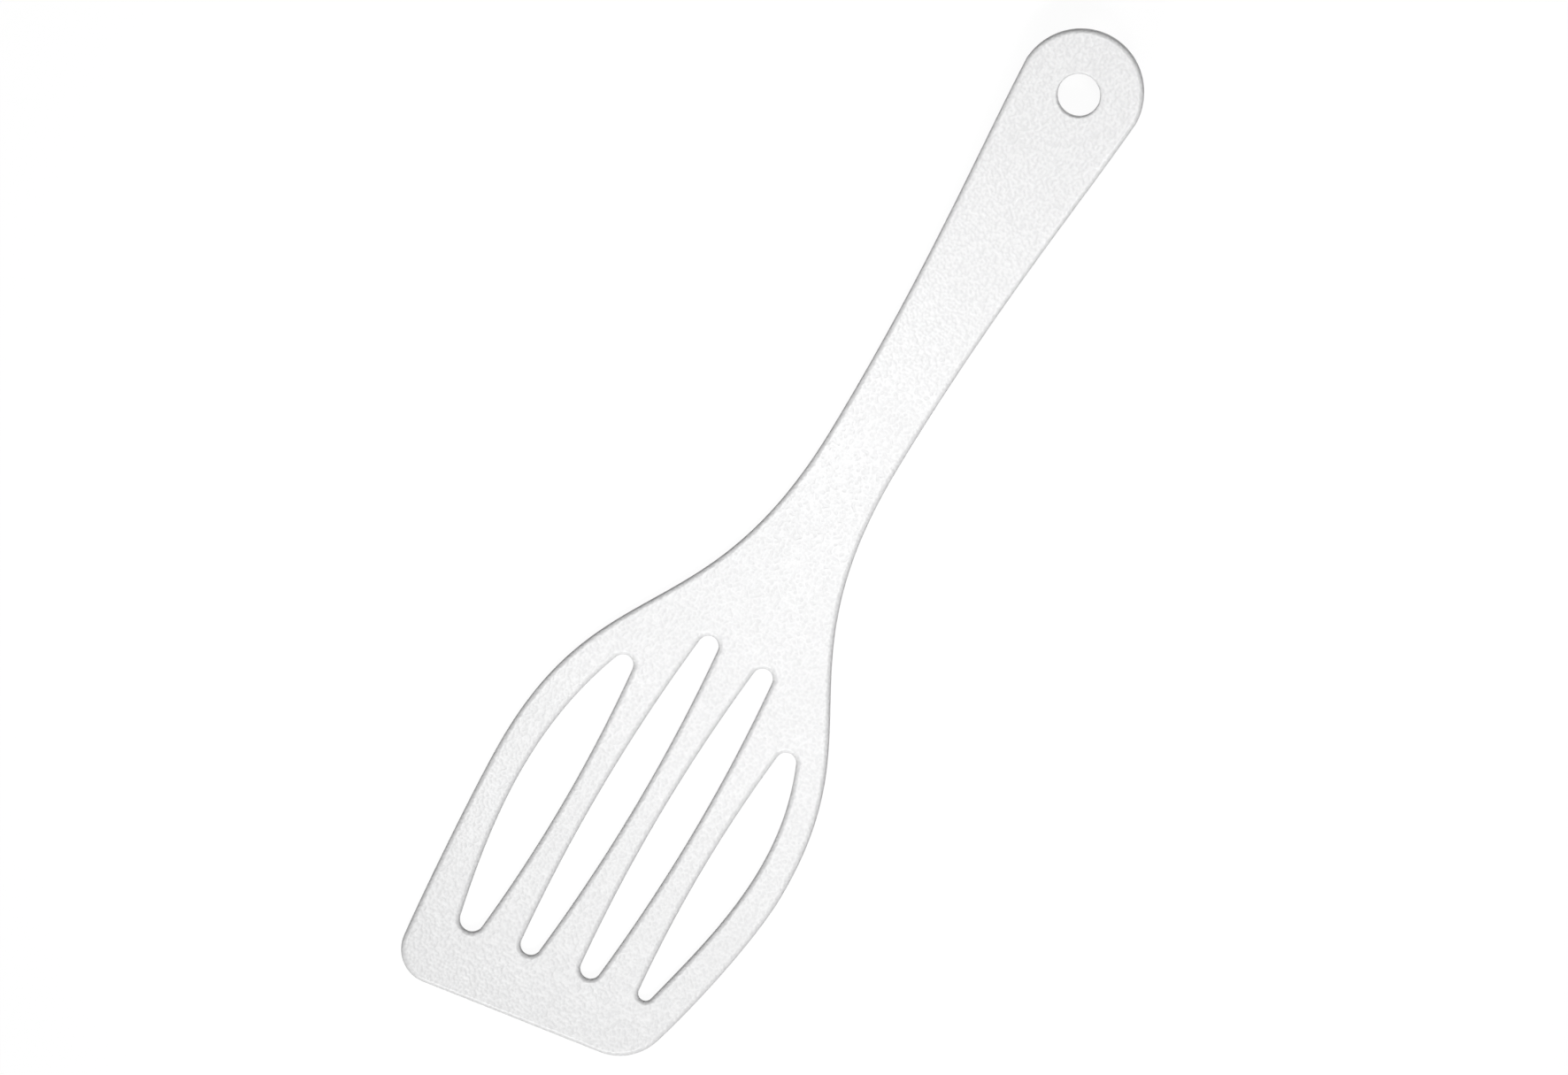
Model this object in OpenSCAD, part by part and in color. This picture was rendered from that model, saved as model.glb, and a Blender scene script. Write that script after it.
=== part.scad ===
// Slotted kitchen spatula, moulded in one piece, with a slanted front edge.
// It lies face up on its sole: the handle rises from there in a gentle curve, and the blade
// lifts a little towards its front edge.
// Stations are measured along X from the end of the handle, and the long side is at -Y.

/* [Outline] */
// Length along the middle line, from the handle's end to the front edge
length = 295.4; // [280:0.2:320]
// Radius of the handle's round end
handle_end_r = 16.4; // [13:0.1:20]
// Angle at which the handle narrows behind its round end
handle_taper = 3.5; // [1:0.5:8]
// How long the edge keeps that direction
handle_reach = 26; // [10:1:40]
// Station of the narrowest place
neck_at = 123; // [105:1:135]
// Width of the neck
neck_w = 20; // [14:0.2:26]
// Station of the widest place
widest_at = 234; // [222:0.5:240]
// Width of the blade at the widest place
blade_w = 83; // [76:0.2:92]
// How long the edge keeps its direction behind the neck
neck_reach_back = 48; // [30:1:55]
// How long the edge keeps its direction in front of the neck
neck_reach_front = 61; // [50:1:70]
// How long the edge keeps its direction behind the widest place
shoulder_reach = 50.5; // [35:0.5:55]
// How long the edge keeps its direction in front of the widest place and behind its corners
side_reach = 12.5; // [5:0.5:20]

/* [Front edge] */
// Slant of the front edge
front_slant = 9.4; // [0:0.2:14]
// Distance from the middle line to the sharp corner on the long side
long_corner_y = 35.6; // [32:0.2:37]
// Distance from the middle line to the sharp corner on the short side
short_corner_y = 30.8; // [27:0.2:33]
// Angle of the long side where it meets its corner
long_side_angle = 7.5; // [3:0.5:12]
// Angle of the short side where it meets its corner
short_side_angle = 16.5; // [10:0.5:20]
// Radius of the corner on the long side
long_corner_r = 9; // [5:0.2:11]
// Radius of the corner on the short side
short_corner_r = 14.2; // [8:0.2:16]

/* [Slots] */
// Diameter of the round slot ends
slot_end_d = 5.4; // [4.4:0.1:6]
// Diameter of the front end of the slot by the long side
long_front_d = 6.4; // [5:0.1:7]
// Diameter of the front end of the slot by the short side
short_front_d = 3.9; // [3:0.1:5.4]
// Distance from slot to slot
slot_pitch = 16.4; // [15:0.1:17]
// How far the front ends are shifted towards the short side
slot_shift = 0.7; // [0:0.1:1.5]
// How far the front end of the slot by the short side is shifted away from that side
short_slot_shift = 0.2; // [0:0.1:1.5]
// Station where the two inner slots begin
inner_slot_at = 184.8; // [178:0.1:205]
// Station where the two outer slots begin
outer_slot_at = 200.3; // [195:0.1:215]
// Angle at which the slot sides bow out from the slot ends
slot_bow = 5.7; // [3:0.1:7]
// Width of the rim between the outer slots and the blade's edge
rim_w = 8.5; // [5:0.1:10]
// Where the side along the long rim bows out most, as a share of the slot's length
long_bow_at = 0.45; // [0.38:0.01:0.55]
// Where the side along the short rim bows out most
short_bow_at = 0.42; // [0.38:0.01:0.5]
// Width of the solid web between the slots and the front edge
front_web = 16.8; // [12:0.1:22]

/* [Hanging hole] */
// Diameter of the hanging hole
hole_d = 11; // [6:0.1:16]
// Distance from the handle's end to the middle of the hole
hole_at = 16.7; // [14:0.1:20]
// Radius of the rounded rim of the hole
hole_rim_r = 0.7; // [0.3:0.1:1.2]

/* [Thickness] */
// Thickness of the handle
handle_t = 3.6; // [3:0.1:5]
// Thickness of the blade at the widest place
blade_t = 2.7; // [2.3:0.1:3.6]
// Thickness at the front edge
front_t = 2; // [1.6:0.1:2.6]
// Radius of the rounded edges on the upper face
top_edge_r = 1.3; // [0.4:0.1:1.5]
// Radius of the rounded edges on the underside
under_edge_r = 0.6; // [0.2:0.1:0.8]

/* [Bend] */
// Length of the flat sole that it lies on
sole_length = 59; // [45:1:75]
// Station where the sole begins
sole_at = 131; // [125:1:140]
// Angle of the handle's end to the sole
handle_lift = 12; // [4:0.5:14]
// Length of the curve between the sole and the straight end of the handle
handle_curve = 100; // [80:1:106]
// Angle of the blade's front to the sole
blade_lift = 1.5; // [0.5:0.5:12]
// Length of the curve between the sole and the flat front of the blade
blade_curve = 69; // [45:1:75]

/* [Hidden] */
// Steps along each stretch of the outline and of the slots
end_steps = 10;
handle_steps = 16;
shoulder_steps = 26;
side_steps = 10;
corner_steps = 8;
slot_end_steps = 5;
slot_side_steps = 18;
// Steps round the edges on the upper face and on the underside
top_steps = 4;
under_steps = 3;
// A slot or hole meets the face at this angle, so that the cut ends cleanly
rim_angle = 12;
// How far the cuts run past the faces
past = 0.2;
// Share of the thickness that the two edge radii may take up together
edge_share = 0.96;
// Sides of the round hanging hole
hole_sides = 96;
slot_count = 4;
sole_end = sole_at + sole_length;

// The bend: rise of the underside at a distance past the sole, and its angle there
function bend_r(span, angle) = span / sin(angle);
function bend_rise(d, span, angle) =
    let (r = bend_r(span, angle))
    d <= 0 ? 0
    : d < span ? r - sqrt(r * r - d * d)
    : r * (1 - cos(angle)) + (d - span) * tan(angle);
function bend_angle(d, span, angle) = d <= 0 ? 0 : asin(min(d, span) / bend_r(span, angle));
function underside(x) =
    bend_rise(sole_at - x, handle_curve, handle_lift) + bend_rise(x - sole_end, blade_curve, blade_lift);
function lean(x) =
    bend_angle(sole_at - x, handle_curve, handle_lift) - bend_angle(x - sole_end, blade_curve, blade_lift);

// Thickness at a station
function thickness(x) = lookup(x, [[neck_at, handle_t], [widest_at, blade_t], [length, front_t]]);

// A plan point set on the bent plate, at a height above its underside
function on_plate(p, up) = [p.x + up * sin(lean(p.x)), p.y, underside(p.x) + up * cos(lean(p.x))];

function unit(v) = v / norm(v);
function bezier(a, b, c, d, steps) = [
    for (i = [1:steps])
        let (s = i / steps, r = 1 - s)
        r * r * r * a + 3 * r * r * s * b + 3 * r * s * s * c + s * s * s * d
];

// One side of the outline, drawn at +Y, from the middle of the handle's end to the front edge
function side_points(slant, corner_y, side_angle, corner_r) =
    let (
        end_turn = 90 - handle_taper,
        round_end = [
            for (i = [0:end_steps])
                let (a = i * end_turn / end_steps)
                [handle_end_r * (1 - cos(a)), handle_end_r * sin(a)]
        ],
        handle_start = round_end[end_steps],
        neck = [neck_at, neck_w / 2],
        widest = [widest_at, blade_w / 2],
        handle_dir = [cos(handle_taper), -sin(handle_taper)],
        side_dir = [cos(side_angle), -sin(side_angle)],
        sharp = [length - corner_y * tan(slant), corner_y],
        corner_turn = 90 - slant - side_angle,
        side_end = sharp - side_dir * corner_r * tan(corner_turn / 2),
        centre = side_end + corner_r * [side_dir.y, -side_dir.x]
    )
    concat(
        round_end,
        bezier(
            handle_start,
            handle_start + handle_dir * handle_reach,
            neck - [neck_reach_back, 0],
            neck,
            handle_steps
        ),
        bezier(neck, neck + [neck_reach_front, 0], widest - [shoulder_reach, 0], widest, shoulder_steps),
        bezier(widest, widest + [side_reach, 0], side_end - side_dir * side_reach, side_end, side_steps),
        [
            for (i = [1:corner_steps])
                let (t = 90 - side_angle - i * corner_turn / corner_steps)
                centre + corner_r * [cos(t), sin(t)]
        ],
        [[length, 0]]
    );

// A closed loop from two sides that share their first and last points
function loop(right, left) = concat(right, [for (i = [len(left) - 2:-1:1]) left[i]]);
function flipped(points) = [for (p = points) [p.x, -p.y]];

outline = loop(
    side_points(front_slant, short_corner_y, short_side_angle, short_corner_r),
    flipped(side_points(-front_slant, long_corner_y, long_side_angle, long_corner_r))
);

// Height of a bowed slot side over its chord, and its slope, both for a chord of length 1.
// The bow is the pair of slopes at the side's back and front.
function side_height(u, bow) = u * (1 - u) * ((1 - u) * bow[0] + u * bow[1]);
function side_slope(u, bow) = (1 - u) * (1 - 3 * u) * bow[0] + u * (2 - 3 * u) * bow[1];

// One side of a slot, drawn from the tip of its back end, with the chord along X
function slot_side(chord, back_r, front_r, bow) =
    let (
        spread = asin((front_r - back_r) / chord),
        back_turn = 90 - spread - atan(bow[0]),
        front_turn = 90 + spread - atan(bow[1])
    )
    concat(
        [
            for (i = [0:slot_end_steps - 1])
                let (t = 180 - i * back_turn / slot_end_steps)
                back_r * [cos(t), sin(t)]
        ],
        [
            for (i = [0:slot_side_steps])
                let (
                    u = i / slot_side_steps,
                    r = back_r + (front_r - back_r) * u,
                    t = 90 + spread + atan(side_slope(u, bow))
                )
                chord * [u, side_height(u, bow)] + r * [cos(t), sin(t)]
        ],
        [
            for (i = [1:slot_end_steps])
                let (t = front_turn * (1 - i / slot_end_steps))
                [chord, 0] + front_r * [cos(t), sin(t)]
        ]
    );

// The bow of a slot's outer side, which follows the rim: it peaks at a height and a share u
function rim_bow(height, u) =
    let (
        front_share = -(1 - u) * (1 - 3 * u) / (u * (2 - 3 * u)),
        back = height / side_height(u, [1, front_share])
    )
    back * [1, front_share];

// The outline of slot i, counted from the long side
function slot_outline(i) =
    let (
        by_long = i == 0,
        by_short = i == slot_count - 1,
        back_r = slot_end_d / 2,
        front_r = (by_long ? long_front_d : by_short ? short_front_d : slot_end_d) / 2,
        y = (i - (slot_count - 1) / 2) * slot_pitch,
        back_end = [(by_long || by_short ? outer_slot_at : inner_slot_at) + back_r, y],
        shift = by_short ? -short_slot_shift : slot_shift,
        front_y = y + shift,
        front_end = [length - front_y * tan(front_slant) - front_web - front_r, front_y],
        chord = norm(front_end - back_end),
        along = (front_end - back_end) / chord,
        across = [-along.y, along.x],
        bow_at = by_long ? long_bow_at : short_bow_at,
        bow_centre_r = back_r + (front_r - back_r) * bow_at,
        bow_height = blade_w / 2 - rim_w - bow_centre_r - abs(y + shift * bow_at),
        outer_bow = rim_bow(bow_height / chord, bow_at),
        plain_bow = tan(slot_bow) * [1, 1],
        right = slot_side(chord, back_r, front_r, by_short ? outer_bow : plain_bow),
        left = slot_side(chord, back_r, front_r, by_long ? outer_bow : plain_bow)
    )
    [for (p = loop(right, flipped(left))) back_end + along * p.x + across * p.y];

// Outward directions at the points of a loop
function outward(points) =
    let (n = len(points))
    [
        for (i = [0:n - 1])
            let (d = unit(points[(i + 1) % n] - points[(i + n - 1) % n]))
            [-d.y, d.x]
    ];

// A solid from a stack of loops, the upper one first
module stack(rings) {
    n = len(rings[0]);
    half = n / 2;
    last = n * (len(rings) - 1);
    walls = [
        for (k = [0:len(rings) - 2], i = [0:n - 1])
            let (j = (i + 1) % n, a = k * n, b = a + n)
            each [[a + i, b + i, b + j], [a + i, b + j, a + j]]
    ];
    caps = [
        for (i = [0:half - 1])
            let (j = n - i, k = j - 1)
            each concat(
                i == 0 ? [] : [[i, i + 1, j % n], [last + i, last + j % n, last + i + 1]],
                i == half - 1 ? [] : [[i + 1, k, j % n], [last + i + 1, last + j % n, last + k]]
            )
    ];
    polyhedron(
        points = [for (ring = rings) each ring],
        faces = concat(walls, caps)
    );
}

// The plate before it is cut: its edge is rounded above and below
function edge_scale(t) = min(1, edge_share * t / (top_edge_r + under_edge_r));
function plate_ring(under, a) =
    let (out = outward(outline))
    [
        for (i = [0:len(outline) - 1])
            let (
                r = (under ? under_edge_r : top_edge_r) * edge_scale(thickness(outline[i].x)),
                p = outline[i] - out[i] * r * (1 - sin(a)),
                depth = r * (1 - cos(a))
            )
            on_plate(p, under ? depth : thickness(p.x) - depth)
    ];
plate_rings = concat(
    [for (i = [0:top_steps]) plate_ring(false, 90 * i / top_steps)],
    [for (i = [under_steps:-1:0]) plate_ring(true, 90 * i / under_steps)]
);
module plate() {
    stack(plate_rings);
}

// The rim of a cut, rounded towards the face: how far out of the cut and how far below the face.
// Its first point lies past the face, straight on from the end of the round.
function round_rim(r, a) = r * [1 - sin(a), 1 - cos(a)];
function rim(r, steps) =
    let (face = round_rim(r, rim_angle))
    concat(
        [[face[0] + (face[1] + past) / tan(rim_angle), -past]],
        [for (i = [0:steps]) round_rim(r, rim_angle + (90 - rim_angle) * i / steps)]
    );
module slot_cut(i) {
    points = slot_outline(i);
    out = outward(points);
    scales = [for (p = points) edge_scale(thickness(p.x))];
    under_rim = rim(under_edge_r, under_steps);
    upper = [
        for (f = rim(top_edge_r, top_steps)) [
            for (k = [0:len(points) - 1])
                let (p = points[k] + out[k] * f[0] * scales[k])
                on_plate(p, thickness(p.x) - f[1] * scales[k])
        ]
    ];
    lower = [
        for (j = [under_steps + 1:-1:0]) [
            for (k = [0:len(points) - 1])
                on_plate(points[k] + out[k] * under_rim[j][0] * scales[k], under_rim[j][1] * scales[k])
        ]
    ];
    stack(concat(upper, lower));
}
module hole_cut() {
    hole_rim = rim(hole_rim_r, top_steps);
    upper = [for (f = hole_rim) [hole_d / 2 + f[0], handle_t - f[1]]];
    lower = [for (i = [len(upper) - 1:-1:0]) [upper[i].x, handle_t - upper[i].y]];
    section = concat([[0, handle_t + past]], upper, lower, [[0, -past]]);
    translate(on_plate([hole_at, 0], 0))
        rotate([0, lean(hole_at), 0])
            rotate_extrude($fn = hole_sides)
                polygon(section);
}

// The whole piece, with the middle of its length at the origin
x_all = [for (ring = plate_rings, p = ring) p.x];
module spatula() {
    color("whitesmoke")
        translate([-(min(x_all) + max(x_all)) / 2, 0, 0])
            difference() {
                plate();
                for (i = [0:slot_count - 1])
                    slot_cut(i);
                hole_cut();
            }
}

spatula();
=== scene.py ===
"""A white slotted kitchen spatula, moulded in one piece, seen from above on a white floor.

The moulding is a closed mesh of the same form as the solid that it stands for, with finer rounds.
Stations run along X from the end of the handle, +Y is the short side of the blade, and the long
side is at -Y. Sizes of the spatula are in millimetres and degrees, all else is in metres.
"""
from math import asin, atan, ceil, cos, degrees, pi, radians, sin, sqrt, tan

import bmesh
import bpy
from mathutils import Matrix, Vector
from mathutils.geometry import delaunay_2d_cdt
from mathutils.kdtree import KDTree


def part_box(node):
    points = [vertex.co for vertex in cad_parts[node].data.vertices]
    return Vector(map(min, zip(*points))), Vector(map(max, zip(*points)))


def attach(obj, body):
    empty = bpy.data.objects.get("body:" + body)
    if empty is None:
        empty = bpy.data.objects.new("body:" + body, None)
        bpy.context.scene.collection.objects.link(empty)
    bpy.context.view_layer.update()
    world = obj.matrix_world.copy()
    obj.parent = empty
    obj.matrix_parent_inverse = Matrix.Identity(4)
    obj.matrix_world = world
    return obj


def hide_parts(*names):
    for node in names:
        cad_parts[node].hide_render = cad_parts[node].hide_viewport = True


MM = 0.001

# Outline of the plate
LENGTH = 295.4
HANDLE_END_R = 16.4
HANDLE_TAPER = 3.5
HANDLE_REACH = 26
NECK_AT = 123
NECK_W = 20
WIDEST_AT = 234
BLADE_W = 83
NECK_REACH_BACK = 48
NECK_REACH_FRONT = 61
SHOULDER_REACH = 50.5
SIDE_REACH = 12.5

# Slanted front edge: distance of each sharp corner from the middle line, angle of the side that
# meets it, and radius of its round
FRONT_SLANT = 9.4
SHORT_CORNER = {"y": 30.8, "side_angle": 16.5, "r": 14.2}
LONG_CORNER = {"y": 35.6, "side_angle": 7.5, "r": 9}

# Slots, the outer two with one side that follows the rim of the blade: how far each front end
# is shifted towards the short side, and where along its length the outer side bows out most
SLOT_PITCH = 16.4
INNER_SLOT_AT = 184.8
OUTER_SLOT_AT = 200.3
SLOT_BACK_R = 2.7
SLOT_BOW = 5.7
RIM_W = 8.5
FRONT_WEB = 16.8
LONG_SLOT = {"front_r": 3.2, "shift": 0.7, "bow_at": 0.45}
INNER_SLOT = {"front_r": 2.7, "shift": 0.7}
SHORT_SLOT = {"front_r": 1.95, "shift": -0.2, "bow_at": 0.42}

# Hanging hole
HOLE_R = 5.5
HOLE_AT = 16.7
HOLE_RIM_R = 0.7

# Thickness and rounded edges
HANDLE_T = 3.6
BLADE_T = 2.7
FRONT_T = 2
TOP_EDGE_R = 1.3
UNDER_EDGE_R = 0.6
EDGE_SHARE = 0.96

# Bend: the plate lies on a flat sole, the handle rises from it, and the blade a little
SOLE_LENGTH = 59
SOLE_AT = 131
HANDLE_LIFT = 12
HANDLE_CURVE = 100
BLADE_LIFT = 1.5
BLADE_CURVE = 69

# Fineness of the mesh: points along an edge, steps round an edge, and points on the faces
POINT_GAP = 0.7
TURN_STEP = 5
TOP_STEPS = 10
UNDER_STEPS = 6
FACE_GAP = 2.5
FACE_CLEARANCE = 0.9
WELD = 1e-6

# delaunay_2d_cdt's setting for triangles inside the outer loop, and the full weight of large faces
# in the shared normals
INSIDE_ONLY = 1
LARGE_FACES_LEAD = 100

WHITE = (1, 1, 1, 1)

# White plastic with a fine moulded grain: its colour with painted light on the bumps and painted
# shade between them, the size and height of the bumps, the span of the noise that the painted
# light and shade follow, and the gloss with its flow
GRAIN_PAINTED_LIGHT = (0.892, 0.892, 0.894, 1)
GRAIN_PAINTED_SHADE = (0.816, 0.816, 0.82, 1)
GRAIN_SIZE = 0.0008
GRAIN_HEIGHT = 0.0001
GRAIN_SPAN = (0.35, 0.65)
FLOW_SIZE = 0.03
FLOW_DETAIL = 3
SATIN = (0.29, 0.37)

# Floor: the glow that it is seen with, the part on top that a shadow takes away, and its colour
# for the light that it throws back
FLOOR_SIZE = 12
FLOOR_DROP = 0.0002
FLOOR_GLOW = 0.945
FLOOR_SHADOW = (0.09, 0.09, 0.09, 1)
FLOOR_BOUNCE = (0.03, 0.03, 0.03, 1)

# Camera: straight down, turned so that the handle points to the upper right
LOOK_AT = Vector((0.00328, -0.00597, 0.005))
CAMERA_DISTANCE = 1.5
CAMERA_ROLL = 121.16
VIEW_WIDTH = 0.40457
SENSOR_WIDTH = 36

# Lamps: a level of 1 lights a white surface that faces the lamp to plain white. Their beams, in
# degrees, are narrow, so the light falls off towards both ends of the spatula.
LAMPS_FACE = Vector((-0.025, 0, 0))
OVERHEAD = {"distance": 2.2, "tilt": 0, "azimuth": 0, "side": 0.45, "level": 0.343, "beam": 24}
KEY = {"distance": 2.2, "tilt": 30, "azimuth": 40, "side": 0.6, "level": 0.402, "beam": 24}
SIDE = {"distance": 2.4, "tilt": 50, "azimuth": 10, "side": 0.6, "level": 0.346, "beam": 24}

# Mean distance of a point in a square of side 1 from its middle
MEAN_REACH = 0.383


def bend_radius(span, angle):
    return span / sin(radians(angle))


def bend_rise(distance, span, angle):
    """Rise of the underside at a distance past the sole: an arc, then a straight line."""
    r = bend_radius(span, angle)
    if distance <= 0:
        return 0
    if distance < span:
        return r - sqrt(r * r - distance * distance)
    return r * (1 - cos(radians(angle))) + (distance - span) * tan(radians(angle))


def bend_angle(distance, span, angle):
    if distance <= 0:
        return 0
    return asin(min(distance, span) / bend_radius(span, angle))


def underside(x):
    """Height of the underside at a station."""
    towards_handle = bend_rise(SOLE_AT - x, HANDLE_CURVE, HANDLE_LIFT)
    towards_front = bend_rise(x - SOLE_AT - SOLE_LENGTH, BLADE_CURVE, BLADE_LIFT)
    return towards_handle + towards_front


def lean(x):
    """How far the plate leans at a station, in radians."""
    towards_handle = bend_angle(SOLE_AT - x, HANDLE_CURVE, HANDLE_LIFT)
    towards_front = bend_angle(x - SOLE_AT - SOLE_LENGTH, BLADE_CURVE, BLADE_LIFT)
    return towards_handle - towards_front


def between(x, start, end, at_start, at_end):
    share = min(1, max(0, (x - start) / (end - start)))
    return at_start + (at_end - at_start) * share


def thickness(x):
    """Thickness of the plate at a station."""
    if x < WIDEST_AT:
        return between(x, NECK_AT, WIDEST_AT, HANDLE_T, BLADE_T)
    return between(x, WIDEST_AT, LENGTH, BLADE_T, FRONT_T)


def on_plate(p, up):
    """A plan point set on the bent plate, at a height above its underside."""
    a = lean(p.x)
    return Vector((p.x + up * sin(a), p.y, underside(p.x) + up * cos(a)))


def steps_along(length, turn=0):
    return max(2, ceil(length / POINT_GAP), ceil(abs(turn) / TURN_STEP))


def line(a, b):
    steps = steps_along((b - a).length)
    return [a.lerp(b, i / steps) for i in range(steps + 1)]


def arc(centre, r, start, turn):
    """Points of an arc from an angle, over a turn that is positive anticlockwise."""
    steps = steps_along(r * radians(abs(turn)), turn)
    angles = [radians(start + turn * i / steps) for i in range(steps + 1)]
    return [centre + r * Vector((cos(a), sin(a))) for a in angles]


def bezier(a, b, c, d):
    steps = steps_along((b - a).length + (c - b).length + (d - c).length)
    points = []
    for i in range(steps + 1):
        s = i / steps
        r = 1 - s
        points.append(r ** 3 * a + 3 * r * r * s * b + 3 * r * s * s * c + s ** 3 * d)
    return points


def chain(*stretches):
    """One row of points from stretches that each start where the last one ends."""
    points = list(stretches[0])
    for stretch in stretches[1:]:
        points.extend(stretch[1:])
    return points


def flipped(points):
    return [Vector((p.x, -p.y)) for p in points]


def loop(right, left):
    """A closed loop from two sides that share their first and last points."""
    return right + left[-2:0:-1]


def side_points(slant, corner):
    """One side of the outline, drawn at +Y, from the handle's end to the middle of the front."""
    taper = radians(HANDLE_TAPER)
    side_angle = radians(corner["side_angle"])
    handle_dir = Vector((cos(taper), -sin(taper)))
    side_dir = Vector((cos(side_angle), -sin(side_angle)))
    neck = Vector((NECK_AT, NECK_W / 2))
    widest = Vector((WIDEST_AT, BLADE_W / 2))
    sharp = Vector((LENGTH - corner["y"] * tan(radians(slant)), corner["y"]))
    turn = 90 - slant - corner["side_angle"]
    side_end = sharp - side_dir * corner["r"] * tan(radians(turn / 2))
    centre = side_end + corner["r"] * Vector((side_dir.y, -side_dir.x))
    round_end = arc(Vector((HANDLE_END_R, 0)), HANDLE_END_R, 180, HANDLE_TAPER - 90)
    handle_start = round_end[-1]
    round_corner = arc(centre, corner["r"], 90 - corner["side_angle"], -turn)
    return chain(
        round_end,
        bezier(
            handle_start,
            handle_start + handle_dir * HANDLE_REACH,
            neck - Vector((NECK_REACH_BACK, 0)),
            neck,
        ),
        bezier(
            neck,
            neck + Vector((NECK_REACH_FRONT, 0)),
            widest - Vector((SHOULDER_REACH, 0)),
            widest,
        ),
        bezier(
            widest,
            widest + Vector((SIDE_REACH, 0)),
            side_end - side_dir * SIDE_REACH,
            side_end,
        ),
        round_corner,
        line(round_corner[-1], Vector((LENGTH, 0))),
    )


def outline_points():
    short_side = side_points(FRONT_SLANT, SHORT_CORNER)
    long_side = side_points(-FRONT_SLANT, LONG_CORNER)
    return loop(short_side, flipped(long_side))


def side_height(u, back, front):
    """Height of a bowed slot side over a chord of length 1."""
    return u * (1 - u) * ((1 - u) * back + u * front)


def side_slope(u, back, front):
    return (1 - u) * (1 - 3 * u) * back + u * (2 - 3 * u) * front


def slot_side(chord, front_r, back, front):
    """One side of a slot, from the tip of its back end, with the chord along X."""
    spread = asin((front_r - SLOT_BACK_R) / chord)
    steps = steps_along(chord)
    bowed = []
    for i in range(steps + 1):
        u = i / steps
        r = SLOT_BACK_R + (front_r - SLOT_BACK_R) * u
        a = pi / 2 + spread + atan(side_slope(u, back, front))
        foot = chord * Vector((u, side_height(u, back, front)))
        bowed.append(foot + r * Vector((cos(a), sin(a))))
    back_turn = 90 - degrees(spread + atan(back))
    front_turn = 90 + degrees(spread - atan(front))
    return chain(
        arc(Vector((0, 0)), SLOT_BACK_R, 180, -back_turn),
        bowed,
        arc(Vector((chord, 0)), front_r, front_turn, -front_turn),
    )


def rim_bow(height, u):
    """Slopes at both ends of a side that rises to a height where it bows out most."""
    front_share = -(1 - u) * (1 - 3 * u) / (u * (2 - 3 * u))
    back = height / side_height(u, 1, front_share)
    return back, back * front_share


def slot_points(y, back_x, slot, rim_side=0):
    """The loop of a slot. The side that follows the rim is 1 at +Y, -1 at -Y, 0 for none."""
    front_r, shift = slot["front_r"], slot["shift"]
    back_end = Vector((back_x + SLOT_BACK_R, y))
    front_y = y + shift
    front_x = LENGTH - front_y * tan(radians(FRONT_SLANT)) - FRONT_WEB - front_r
    front_end = Vector((front_x, front_y))
    chord = (front_end - back_end).length
    along = (front_end - back_end) / chord
    across = Vector((-along.y, along.x))
    plain = outer = (tan(radians(SLOT_BOW)), tan(radians(SLOT_BOW)))
    if rim_side:
        u = slot["bow_at"]
        middle_r = SLOT_BACK_R + (front_r - SLOT_BACK_R) * u
        outer = rim_bow((BLADE_W / 2 - RIM_W - middle_r - abs(y + shift * u)) / chord, u)
    right = slot_side(chord, front_r, *(outer if rim_side > 0 else plain))
    left = slot_side(chord, front_r, *(outer if rim_side < 0 else plain))
    return [back_end + along * p.x + across * p.y for p in loop(right, flipped(left))]


def all_slots():
    """The loops of the four slots, from the long side to the short side."""
    return [
        slot_points(-1.5 * SLOT_PITCH, OUTER_SLOT_AT, LONG_SLOT, rim_side=-1),
        slot_points(-0.5 * SLOT_PITCH, INNER_SLOT_AT, INNER_SLOT),
        slot_points(0.5 * SLOT_PITCH, INNER_SLOT_AT, INNER_SLOT),
        slot_points(1.5 * SLOT_PITCH, OUTER_SLOT_AT, SHORT_SLOT, rim_side=1),
    ]


def outward(points):
    """Outward directions at the points of a loop."""
    n = len(points)
    steps = [(points[(i + 1) % n] - points[i - 1]).normalized() for i in range(n)]
    return [Vector((-d.y, d.x)) for d in steps]


def edge_scale(t):
    """The rounds shrink where the plate is too thin for both of them."""
    return min(1, EDGE_SHARE * t / (TOP_EDGE_R + UNDER_EDGE_R))


def edge_rim(points, into):
    """Each point of an edge, its direction into the plastic, and its radii above and below."""
    scales = [edge_scale(thickness(p.x)) for p in points]
    return [(p, d, TOP_EDGE_R * s, UNDER_EDGE_R * s) for p, d, s in zip(points, into, scales)]


def outline_rim():
    points = outline_points()
    return edge_rim(points, [-d for d in outward(points)])


def hole_rim():
    """The hanging hole is square to the leaning handle, so its plan is a little short."""
    steps = steps_along(2 * pi * HOLE_R, 360)
    angles = [pi - 2 * pi * i / steps for i in range(steps)]
    into = [Vector((cos(a) * cos(lean(HOLE_AT)), sin(a))) for a in angles]
    return [(Vector((HOLE_AT, 0)) + HOLE_R * d, d, HOLE_RIM_R, HOLE_RIM_R) for d in into]


def rim_rings(rim):
    """Rings from the upper face over the upper round, down the wall and round to the underside."""
    rings = []
    for step in range(TOP_STEPS + 1):
        a = radians(90 * step / TOP_STEPS)
        plan = [p + d * r * (1 - sin(a)) for p, d, r, _ in rim]
        rings.append([on_plate(q, thickness(q.x) - row[2] * (1 - cos(a))) for q, row in zip(plan, rim)])
    for step in range(UNDER_STEPS, -1, -1):
        a = radians(90 * step / UNDER_STEPS)
        plan = [p + d * r * (1 - sin(a)) for p, d, _, r in rim]
        rings.append([on_plate(q, row[3] * (1 - cos(a))) for q, row in zip(plan, rim)])
    return rings


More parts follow.
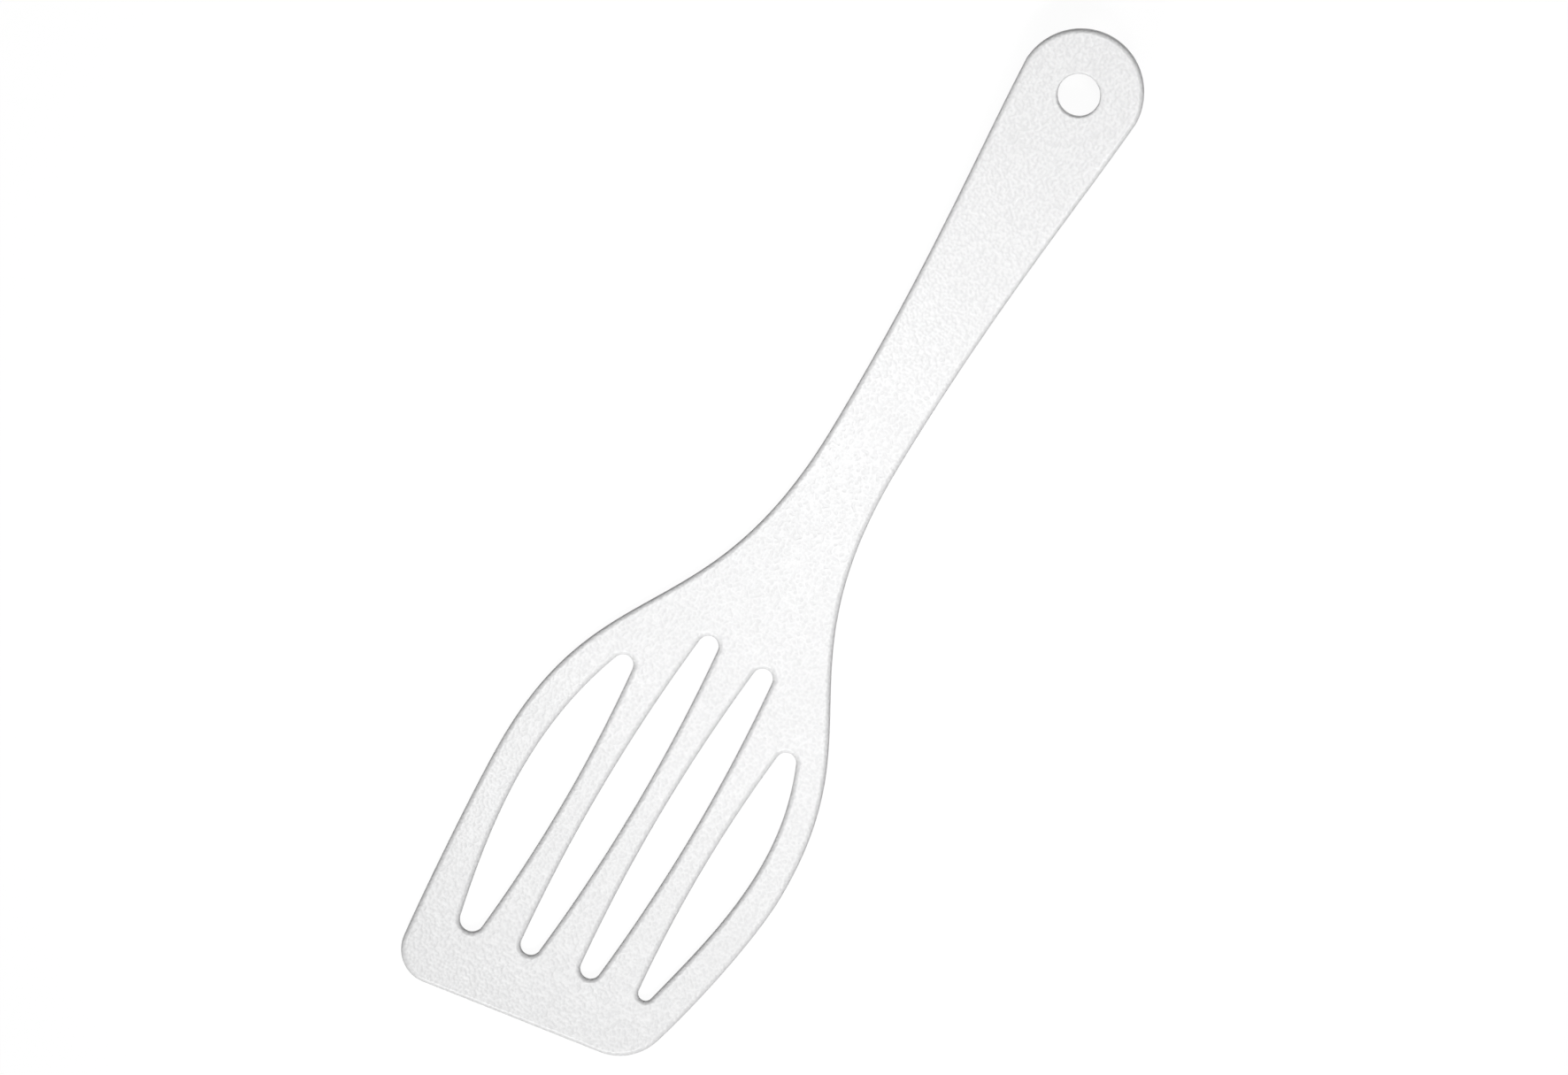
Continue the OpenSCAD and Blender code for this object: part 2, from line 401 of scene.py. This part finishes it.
def in_convex(p, points):
    """Whether p is inside a convex loop that runs clockwise."""
    n = len(points)
    return all((points[(i + 1) % n] - points[i]).cross(p - points[i]) < 0 for i in range(n))


def lattice(loops):
    """Even points for a face, clear of its edges and of the cuts."""
    near = KDTree(sum(len(points) for points in loops))
    for index, p in enumerate(p for points in loops for p in points):
        near.insert(p.to_3d(), index)
    near.balance()
    cuts = loops[1:]
    row_gap = FACE_GAP * sqrt(3) / 2
    rows = ceil(BLADE_W / 2 / row_gap)
    found = []
    for row in range(-rows, rows + 1):
        for column in range(ceil(LENGTH / FACE_GAP)):
            p = Vector(((column + row % 2 / 2) * FACE_GAP, row * row_gap))
            clear = near.find(p.to_3d())[2] > FACE_CLEARANCE
            if clear and not any(in_convex(p, cut) for cut in cuts):
                found.append(p)
    return found


def face_triangles(loops):
    """Triangles between the outline, which is the first loop, and the cuts.

    Corners are counted through the loops' points, one loop after the other, and then the lattice.
    """
    inner = lattice(loops)
    owner = [k for k, points in enumerate(loops) for _ in points] + [None] * len(inner)
    edges = []
    start = 0
    for points in loops:
        n = len(points)
        edges.extend((start + i, start + (i + 1) % n) for i in range(n))
        start += n
    corners = [p for points in loops for p in points] + inner
    _, _, faces, came_from, _, _ = delaunay_2d_cdt(corners, edges, [], INSIDE_ONLY, WELD)
    triangles = [tuple(came_from[corner][0] for corner in face) for face in faces]
    in_a_cut = [
        owner[t[0]] not in (None, 0) and owner[t[0]] == owner[t[1]] == owner[t[2]]
        for t in triangles
    ]
    return [t for t, cut in zip(triangles, in_a_cut) if not cut], inner


def add_face(mesh, rims, rows, depth, up):
    """Closes one face of the plate between the end rings of its rims."""
    loops = [[p + d * radii[depth] for p, d, *radii in rim] for rim in rims]
    triangles, inner = face_triangles(loops)
    row_verts = [v for row in rows for v in row]
    used = {corner for t in triangles for corner in t}
    verts = {}
    for corner in used:
        if corner < len(row_verts):
            verts[corner] = row_verts[corner]
        else:
            p = inner[corner - len(row_verts)]
            verts[corner] = mesh.verts.new(on_plate(p, up(p)) * MM)
    for t in triangles:
        mesh.faces.new([verts[corner] for corner in t])


def moulding_mesh():
    """The whole piece as one closed mesh."""
    rims = [outline_rim()]
    rims.extend(edge_rim(points, outward(points)) for points in all_slots())
    rims.append(hole_rim())
    mesh = bmesh.new()
    upper_rows = []
    under_rows = []
    for rim in rims:
        rows = [[mesh.verts.new(p * MM) for p in ring] for ring in rim_rings(rim)]
        n = len(rim)
        for above, below in zip(rows, rows[1:]):
            for i in range(n):
                j = (i + 1) % n
                mesh.faces.new((above[i], below[i], below[j], above[j]))
        upper_rows.append(rows[0])
        under_rows.append(rows[-1])
    add_face(mesh, rims, upper_rows, 0, lambda p: thickness(p.x))
    add_face(mesh, rims, under_rows, 1, lambda p: 0)
    bmesh.ops.recalc_face_normals(mesh, faces=mesh.faces)
    return mesh


def make_spatula():
    """The moulding as an object, with the middle of its length where the solid has it."""
    mesh = moulding_mesh()
    low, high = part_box("spatula")
    stations = [v.co.x for v in mesh.verts]
    shift = (low.x + high.x) / 2 - (min(stations) + max(stations)) / 2
    bmesh.ops.translate(mesh, verts=mesh.verts, vec=(shift, 0, 0))
    # The finer rounds pass the solid's facets by up to 0.02 mm, so they are kept to its box
    for vert in mesh.verts:
        vert.co = [min(max(x, a), b) for x, a, b in zip(vert.co, low, high)]
    for face in mesh.faces:
        face.smooth = True
    data = bpy.data.meshes.new("spatula_moulding")
    mesh.to_mesh(data)
    mesh.free()
    piece = bpy.data.objects.new("spatula_moulding", data)
    bpy.context.scene.collection.objects.link(piece)
    # Large faces lead the shared normals, so the faces stay even up to their rounds
    normals = piece.modifiers.new("even_faces", "WEIGHTED_NORMAL")
    normals.weight = LARGE_FACES_LEAD
    return piece


def new_material(name):
    """An empty node material: its node tree and its output."""
    material = bpy.data.materials.new(name)
    material.use_nodes = True
    tree = material.node_tree
    tree.nodes.clear()
    output = tree.nodes.new("ShaderNodeOutputMaterial")
    return material, tree, output


def noise(tree, place, size, detail):
    """Noise whose features are about size metres."""
    node = tree.nodes.new("ShaderNodeTexNoise")
    node.inputs["Scale"].default_value = 1 / size
    node.inputs["Detail"].default_value = detail
    tree.links.new(place, node.inputs["Vector"])
    return node.outputs["Fac"]


def white_plastic():
    """Satin white plastic: fine grain in relief, with painted light on its bumps and painted shade
    between them, and faint flow marks in gloss.
    """
    material, tree, output = new_material("white_plastic")
    place = tree.nodes.new("ShaderNodeTexCoord").outputs["Object"]
    grain = noise(tree, place, GRAIN_SIZE, detail=0)
    flow = noise(tree, place, FLOW_SIZE, FLOW_DETAIL)

    # The grain's height, stretched, sets where the painted light and painted shade of the grain go
    painted_grain_shading = tree.nodes.new("ShaderNodeMapRange")
    painted_grain_shading.inputs["From Min"].default_value = GRAIN_SPAN[0]
    painted_grain_shading.inputs["From Max"].default_value = GRAIN_SPAN[1]
    tree.links.new(grain, painted_grain_shading.inputs["Value"])

    # Colour of the plastic: painted light on the grain's bumps, painted shade between them
    colour = tree.nodes.new("ShaderNodeMix")
    colour.data_type = "RGBA"
    colour.inputs["A"].default_value = GRAIN_PAINTED_SHADE
    colour.inputs["B"].default_value = GRAIN_PAINTED_LIGHT
    tree.links.new(painted_grain_shading.outputs["Result"], colour.inputs["Factor"])

    gloss = tree.nodes.new("ShaderNodeMapRange")
    gloss.inputs["To Min"].default_value = SATIN[0]
    gloss.inputs["To Max"].default_value = SATIN[1]
    tree.links.new(flow, gloss.inputs["Value"])

    relief = tree.nodes.new("ShaderNodeBump")
    relief.inputs["Strength"].default_value = 1
    relief.inputs["Distance"].default_value = GRAIN_HEIGHT
    tree.links.new(grain, relief.inputs["Height"])

    plastic = tree.nodes.new("ShaderNodeBsdfPrincipled")
    tree.links.new(colour.outputs["Result"], plastic.inputs["Base Color"])
    tree.links.new(gloss.outputs["Result"], plastic.inputs["Roughness"])
    tree.links.new(relief.outputs["Normal"], plastic.inputs["Normal"])
    tree.links.new(plastic.outputs["BSDF"], output.inputs["Surface"])
    return material


def seen_by_rays(tree):
    """A socket that is 1 for rays seen straight, mirrored or through glass, and 0 for others."""
    rays = tree.nodes.new("ShaderNodeLightPath")
    seen = rays.outputs["Is Camera Ray"]
    for kind in ("Is Glossy Ray", "Is Transmission Ray"):
        add = tree.nodes.new("ShaderNodeMath")
        add.operation = "ADD"
        add.use_clamp = True
        tree.links.new(seen, add.inputs[0])
        tree.links.new(rays.outputs[kind], add.inputs[1])
        seen = add.outputs["Value"]
    return seen


def white_floor():
    """Seen as white with the object's shadow, while it throws little light back up."""
    material, tree, output = new_material("white_floor")
    seen = seen_by_rays(tree)
    bounce = tree.nodes.new("ShaderNodeBsdfDiffuse")
    bounce.inputs["Color"].default_value = FLOOR_BOUNCE
    shadow = tree.nodes.new("ShaderNodeBsdfDiffuse")
    shadow.inputs["Color"].default_value = FLOOR_SHADOW
    glow = tree.nodes.new("ShaderNodeEmission")
    glow.inputs["Strength"].default_value = FLOOR_GLOW
    white = tree.nodes.new("ShaderNodeAddShader")
    tree.links.new(glow.outputs["Emission"], white.inputs[0])
    tree.links.new(shadow.outputs["BSDF"], white.inputs[1])
    mix = tree.nodes.new("ShaderNodeMixShader")
    tree.links.new(seen, mix.inputs["Fac"])
    tree.links.new(bounce.outputs["BSDF"], mix.inputs[1])
    tree.links.new(white.outputs["Shader"], mix.inputs[2])
    tree.links.new(mix.outputs["Shader"], output.inputs["Surface"])
    # The glow lights nothing, so it takes no light samples from the lamps
    material.cycles.emission_sampling = "NONE"
    return material


def make_floor():
    bpy.ops.mesh.primitive_plane_add(size=FLOOR_SIZE, location=(0, 0, -FLOOR_DROP))
    floor = bpy.context.object
    floor.name = "floor"
    floor.data.materials.append(white_floor())


def make_lamp(name, distance, tilt, azimuth, side, level, beam):
    """A square soft box, tilted from straight above, whose beam is centred on LAMPS_FACE."""
    data = bpy.data.lights.new(name, "AREA")
    data.size = side
    data.spread = radians(beam)
    # A beam is brighter in its middle than a plain lamp of the same energy
    half = radians(beam) / 2
    gain = (tan(half) - MEAN_REACH * side / distance) / (tan(half) - half)
    data.energy = level * (pi * distance) ** 2 / gain
    lamp = bpy.data.objects.new(name, data)
    lamp.rotation_euler = (0, radians(tilt), radians(azimuth))
    lamp.location = LAMPS_FACE + lamp.rotation_euler.to_matrix() @ Vector((0, 0, distance))
    lamp.visible_camera = False
    bpy.context.scene.collection.objects.link(lamp)


def light_room():
    """A room that is seen as white, and the lamps that light the object."""
    world = bpy.data.worlds.new("room")
    world.use_nodes = True
    background = world.node_tree.nodes["Background"]
    background.inputs["Color"].default_value = WHITE
    world.node_tree.links.new(seen_by_rays(world.node_tree), background.inputs["Strength"])
    # The white room lights nothing, so it takes no light samples from the lamps
    world.cycles.sampling_method = "NONE"
    bpy.context.scene.world = world
    make_lamp("overhead", **OVERHEAD)
    make_lamp("key", **KEY)
    make_lamp("side", **SIDE)


def make_camera():
    data = bpy.data.cameras.new("camera")
    data.sensor_width = SENSOR_WIDTH
    data.lens = SENSOR_WIDTH * CAMERA_DISTANCE / VIEW_WIDTH
    camera = bpy.data.objects.new("camera", data)
    camera.rotation_euler = (0, 0, radians(CAMERA_ROLL))
    camera.location = LOOK_AT + Vector((0, 0, CAMERA_DISTANCE))
    bpy.context.scene.collection.objects.link(camera)
    bpy.context.scene.camera = camera


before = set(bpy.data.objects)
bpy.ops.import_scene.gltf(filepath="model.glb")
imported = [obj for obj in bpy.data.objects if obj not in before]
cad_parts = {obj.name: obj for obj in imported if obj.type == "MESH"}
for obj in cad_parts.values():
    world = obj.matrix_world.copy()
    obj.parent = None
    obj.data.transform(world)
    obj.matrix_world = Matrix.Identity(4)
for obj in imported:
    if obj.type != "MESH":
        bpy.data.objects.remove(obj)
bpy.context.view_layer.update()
bpy.context.scene.view_settings.view_transform = "Standard"
make_camera()
light_room()
make_floor()
spatula = make_spatula()
spatula.data.materials.append(white_plastic())
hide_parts("spatula")
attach(spatula, "root")
